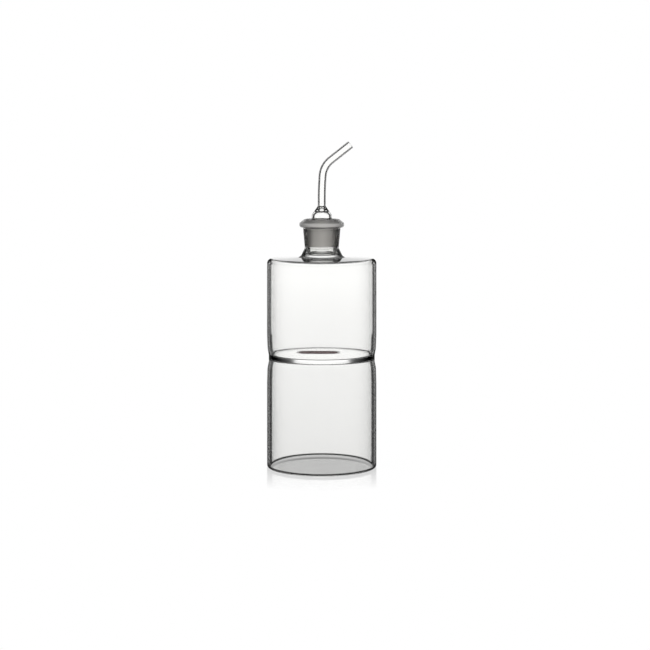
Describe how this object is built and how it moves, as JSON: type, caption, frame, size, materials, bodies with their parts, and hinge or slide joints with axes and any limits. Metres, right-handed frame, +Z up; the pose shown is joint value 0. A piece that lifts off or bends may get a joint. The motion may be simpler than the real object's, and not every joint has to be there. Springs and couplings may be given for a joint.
{
  "type": "glass pouring bottle",
  "caption": "Clear glass bottle with an open-bottomed cylindrical foot, a waist groove, a ground neck joint and a hollow stopper that ends in a bent pouring tube.",
  "frame": {"origin": "centre of the bottom rim, on the plane the bottle stands on", "axes": "+Z up along the axis of the bottle, +X the way the pouring tube leans"},
  "size_m": [0.08, 0.08, 0.2375],
  "materials": {
    "clear_glass": "polished clear borosilicate",
    "ground_glass": "ground joint surfaces, clear elsewhere"
  },
  "bodies": {
    "bottle": {"lower_cylinder": "clear_glass", "chamber_floor": "clear_glass", "upper_cylinder": "clear_glass", "neck_socket": "ground_glass"},
    "stopper": {"stopper_cone": "ground_glass"},
    "spout": {"stopper_dome": "clear_glass", "pour_tube": "clear_glass"}
  },
  "joints": [
    {"name": "stopper_lift", "type": "slide", "parent": "bottle", "child": "stopper", "axis": [0, 0, 1], "range_m": [0, 0.04]},
    {"name": "stopper_turn", "type": "hinge", "parent": "stopper", "child": "spout", "pos_m": [0, 0, 0.1816], "axis": [0, 0, 1], "continuous": true}
  ]
}
